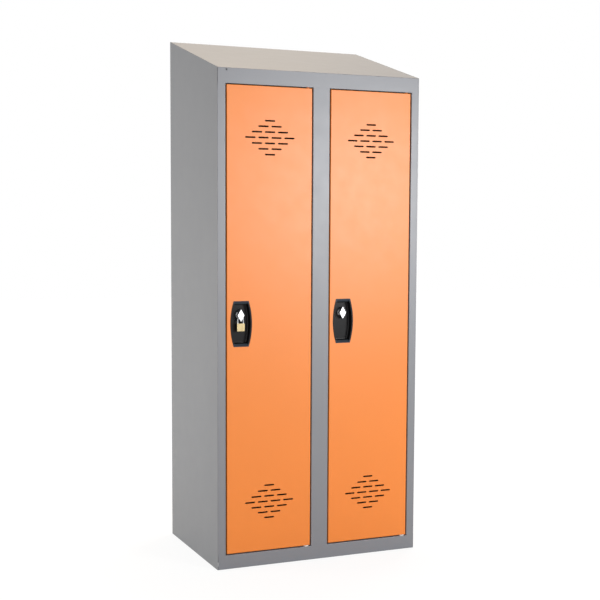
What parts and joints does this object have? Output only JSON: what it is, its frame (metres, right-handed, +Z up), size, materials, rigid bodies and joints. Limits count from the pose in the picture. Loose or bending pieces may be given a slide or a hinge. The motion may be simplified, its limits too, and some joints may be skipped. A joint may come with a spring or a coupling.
{
  "type": "clothes locker",
  "caption": "Free-standing sheet-steel clothes locker with side-by-side compartments, vented pivoting doors, padlock latches in moulded dishes and a roof sloping to the front.",
  "frame": {"origin": "on the floor, under the middle of the whole box", "axes": "+Z up the locker, -Y out of the doors, +X to the right seen from the front"},
  "size_m": [0.8, 0.5662, 1.9546],
  "materials": {
    "grey_paint": "satin powder coat, light neutral grey",
    "grey_inside": "satin powder coat, light neutral grey",
    "orange_paint": "satin powder coat, light orange",
    "black_plastic": "fine grained black moulding",
    "white_nylon": "white nylon",
    "rubber": "black rubber",
    "bright_chrome": "polished chrome plate",
    "zinc_steel": "bright zinc plate",
    "brass": "satin brass"
  },
  "bodies": {
    "cabinet": {"left_side_panel": "grey_paint", "right_side_panel": "grey_paint", "back_panel": "grey_inside", "roof_panel": "grey_paint", "bottom_rail": "grey_paint", "base_tray": "grey_inside", "centre_stile": "grey_paint", "centre_partition": "grey_inside", "left_hat_shelf": "grey_inside", "right_hat_shelf": "grey_inside", "left_coat_rail": "zinc_steel", "right_coat_rail": "zinc_steel", "left_rail_sockets": "black_plastic", "right_rail_sockets": "black_plastic", "bottom_bushes": "white_nylon", "top_bushes": "white_nylon", "door_buffers": "rubber"},
    "left_door": {"left_door_panel": "orange_paint", "left_door_stiffener": "orange_paint", "left_hinge_pins": "orange_paint", "left_lock_dish": "black_plastic", "left_dish_retainer": "black_plastic"},
    "left_latch": {"left_latch_knob": "bright_chrome", "left_spring_washer": "zinc_steel", "left_latch_cam": "zinc_steel", "left_latch_nut": "zinc_steel"},
    "right_door": {"right_door_panel": "orange_paint", "right_door_stiffener": "orange_paint", "right_hinge_pins": "orange_paint", "right_lock_dish": "black_plastic", "right_dish_retainer": "black_plastic"},
    "right_latch": {"right_latch_knob": "bright_chrome", "right_spring_washer": "zinc_steel", "right_latch_cam": "zinc_steel", "right_latch_nut": "zinc_steel"},
    "shackle": {"padlock_shackle": "bright_chrome"},
    "padlock": {"padlock_body": "brass"},
    "key_plug": {"padlock_plug": "brass"},
    "left_hook_a": {"left_coat_hook_a": "black_plastic"},
    "left_hook_b": {"left_coat_hook_b": "black_plastic"},
    "right_hook_a": {"right_coat_hook_a": "black_plastic"},
    "right_hook_b": {"right_coat_hook_b": "black_plastic"}
  },
  "joints": [
    {"name": "left_door_swing", "type": "hinge", "parent": "cabinet", "child": "left_door", "pos_m": [-0.0505, -0.2709, 0.9], "axis": [0, 0, 1], "range_deg": [0, 110]},
    {"name": "left_latch_turn", "type": "hinge", "parent": "left_door", "child": "left_latch", "pos_m": [-0.3105, -0.2604, 0.9245], "axis": [0, 1, 0], "range_deg": [-14, 14]},
    {"name": "right_door_swing", "type": "hinge", "parent": "cabinet", "child": "right_door", "pos_m": [0.3515, -0.2709, 0.9], "axis": [0, 0, 1], "range_deg": [0, 110]},
    {"name": "right_latch_turn", "type": "hinge", "parent": "right_door", "child": "right_latch", "pos_m": [0.0915, -0.2604, 0.9245], "axis": [0, 1, 0], "range_deg": [0, 90]},
    {"name": "padlock_swing", "type": "hinge", "parent": "left_latch", "child": "shackle", "pos_m": [-0.3105, -0.2743, 0.9155], "axis": [-1, 0, 0], "range_deg": [-5, 62]},
    {"name": "padlock_drop", "type": "slide", "parent": "shackle", "child": "padlock", "axis": [0, 0, -1], "range_m": [0, 0.008]},
    {"name": "key_turn", "type": "hinge", "parent": "padlock", "child": "key_plug", "pos_m": [-0.3105, -0.2743, 0.8675], "axis": [0, 0, 1], "range_deg": [0, 90]},
    {"name": "left_hook_a_slide", "type": "slide", "parent": "cabinet", "child": "left_hook_a", "axis": [1, 0, 0], "range_m": [-0.115, 0.05]},
    {"name": "left_hook_b_slide", "type": "slide", "parent": "cabinet", "child": "left_hook_b", "axis": [1, 0, 0], "range_m": [-0.05, 0.115]},
    {"name": "right_hook_a_slide", "type": "slide", "parent": "cabinet", "child": "right_hook_a", "axis": [1, 0, 0], "range_m": [-0.115, 0.05]},
    {"name": "right_hook_b_slide", "type": "slide", "parent": "cabinet", "child": "right_hook_b", "axis": [1, 0, 0], "range_m": [-0.05, 0.115]}
  ]
}
